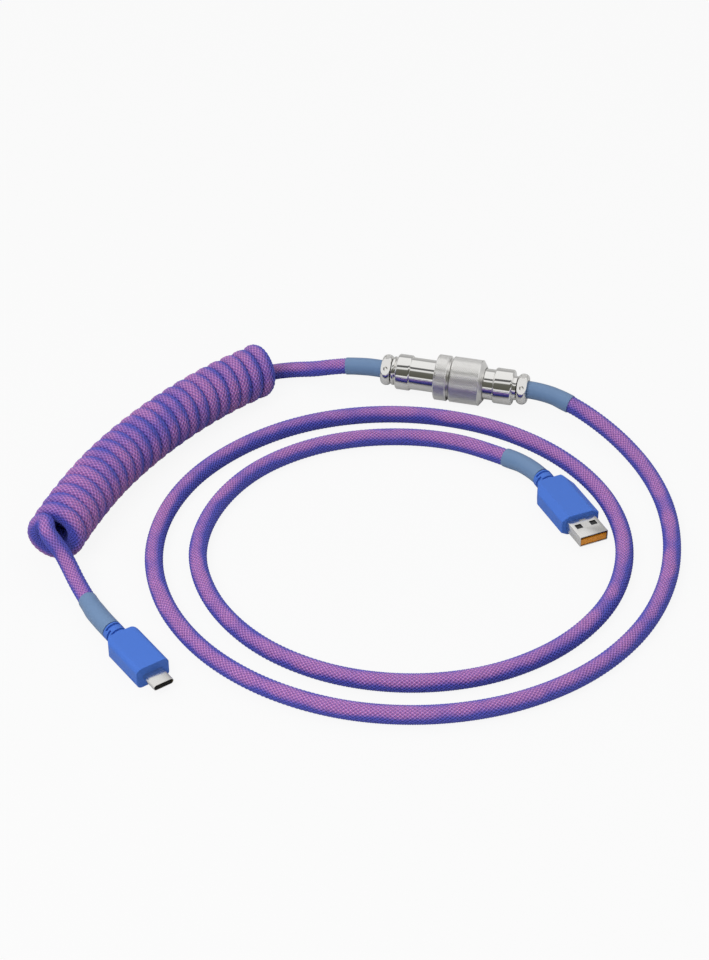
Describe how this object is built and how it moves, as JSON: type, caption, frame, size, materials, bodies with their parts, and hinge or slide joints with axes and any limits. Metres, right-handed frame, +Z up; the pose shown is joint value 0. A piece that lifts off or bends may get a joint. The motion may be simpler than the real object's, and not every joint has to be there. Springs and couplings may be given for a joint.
{
  "type": "coiled keyboard cable",
  "caption": "Coiled keyboard cable: USB-C plug, curly coil, two-half aviator connector with knurled nut, loops of cable and a USB-A plug.",
  "frame": {"origin": "on the desk, under the middle of the aviator connector", "axes": "+X along the connector from its pin half toward its socket half, +Y away from the loops, +Z up"},
  "size_m": [0.2412, 0.2162, 0.0218],
  "materials": {
    "polished_nickel": "mirror-polished nickel plate on brass",
    "satin_nickel": "fine diamond knurl, satin nickel plate",
    "plug_shell_steel": "satin nickel-plated steel",
    "contact_gold": "gold-flashed copper alloy",
    "insulator_black": "moulded black insulator",
    "tongue_amber": "amber moulded insulator",
    "overmould_blue": "satin blue overmould",
    "shrink_tube_blue_grey": "smooth satin heat-shrink tube",
    "braid_purple": "blue filament mesh over a pink-magenta woven cord",
    "inner_jacket_black": "smooth inner cable jacket",
    "inner_mould_white": "white inner moulding",
    "board_green": "green solder mask"
  },
  "bodies": {
    "host_side": {"host_plug_sleeve": "polished_nickel", "host_insert": "insulator_black", "host_contact_1": "contact_gold", "host_contact_2": "contact_gold", "host_contact_3": "contact_gold", "host_contact_4": "contact_gold", "host_contact_5": "contact_gold", "host_back_shell": "polished_nickel", "host_clamp_strap": "polished_nickel", "host_clamp_screw_upper": "plug_shell_steel", "host_clamp_screw_lower": "plug_shell_steel", "host_shrink_tube": "shrink_tube_blue_grey", "host_cable_core": "inner_jacket_black", "host_cable": "braid_purple", "usb_a_shrink_tube": "shrink_tube_blue_grey", "usb_a_cable_core": "inner_jacket_black", "usb_a_overmould": "overmould_blue", "usb_a_shell": "plug_shell_steel", "usb_a_tongue": "tongue_amber", "usb_a_contact_1": "contact_gold", "usb_a_contact_2": "contact_gold", "usb_a_contact_3": "contact_gold", "usb_a_contact_4": "contact_gold", "usb_a_inner_mould": "inner_mould_white"},
    "device_side": {"device_front_body": "satin_nickel", "device_insert": "insulator_black", "device_pin_1": "contact_gold", "device_pin_2": "contact_gold", "device_pin_3": "contact_gold", "device_pin_4": "contact_gold", "device_pin_5": "contact_gold", "device_back_shell": "polished_nickel", "device_clamp_strap": "polished_nickel", "device_clamp_screw_upper": "plug_shell_steel", "device_clamp_screw_lower": "plug_shell_steel", "device_shrink_tube": "shrink_tube_blue_grey", "device_cable_core": "inner_jacket_black", "device_lead": "braid_purple", "device_coil": "braid_purple", "device_tail": "braid_purple", "usb_c_shrink_tube": "shrink_tube_blue_grey", "usb_c_cable_core": "inner_jacket_black", "usb_c_overmould": "overmould_blue", "usb_c_shell": "plug_shell_steel", "usb_c_insulator": "insulator_black", "usb_c_contacts_upper": "contact_gold", "usb_c_contacts_lower": "contact_gold", "usb_c_board": "board_green", "usb_c_inner_can": "plug_shell_steel"},
    "nut_ring": {"nut_thrust_ring": "plug_shell_steel"},
    "coupling_nut": {"coupling_nut": "satin_nickel"}
  },
  "joints": [
    {"name": "nut_travel", "type": "slide", "parent": "host_side", "child": "nut_ring", "axis": [1, 0, 0], "range_m": [0, 0.004]},
    {"name": "nut_turn", "type": "hinge", "parent": "nut_ring", "child": "coupling_nut", "pos_m": [0.005, 0, 0.0095], "axis": [1, 0, 0], "range_deg": [0, 1440.1]},
    {"name": "device_unplug", "type": "slide", "parent": "host_side", "child": "device_side", "axis": [-1, 0, 0], "range_m": [0, 0.014]}
  ],
  "couplings": [
    {"joint": "nut_turn", "follows": "nut_travel", "rad_per_m": 6283.2}
  ]
}
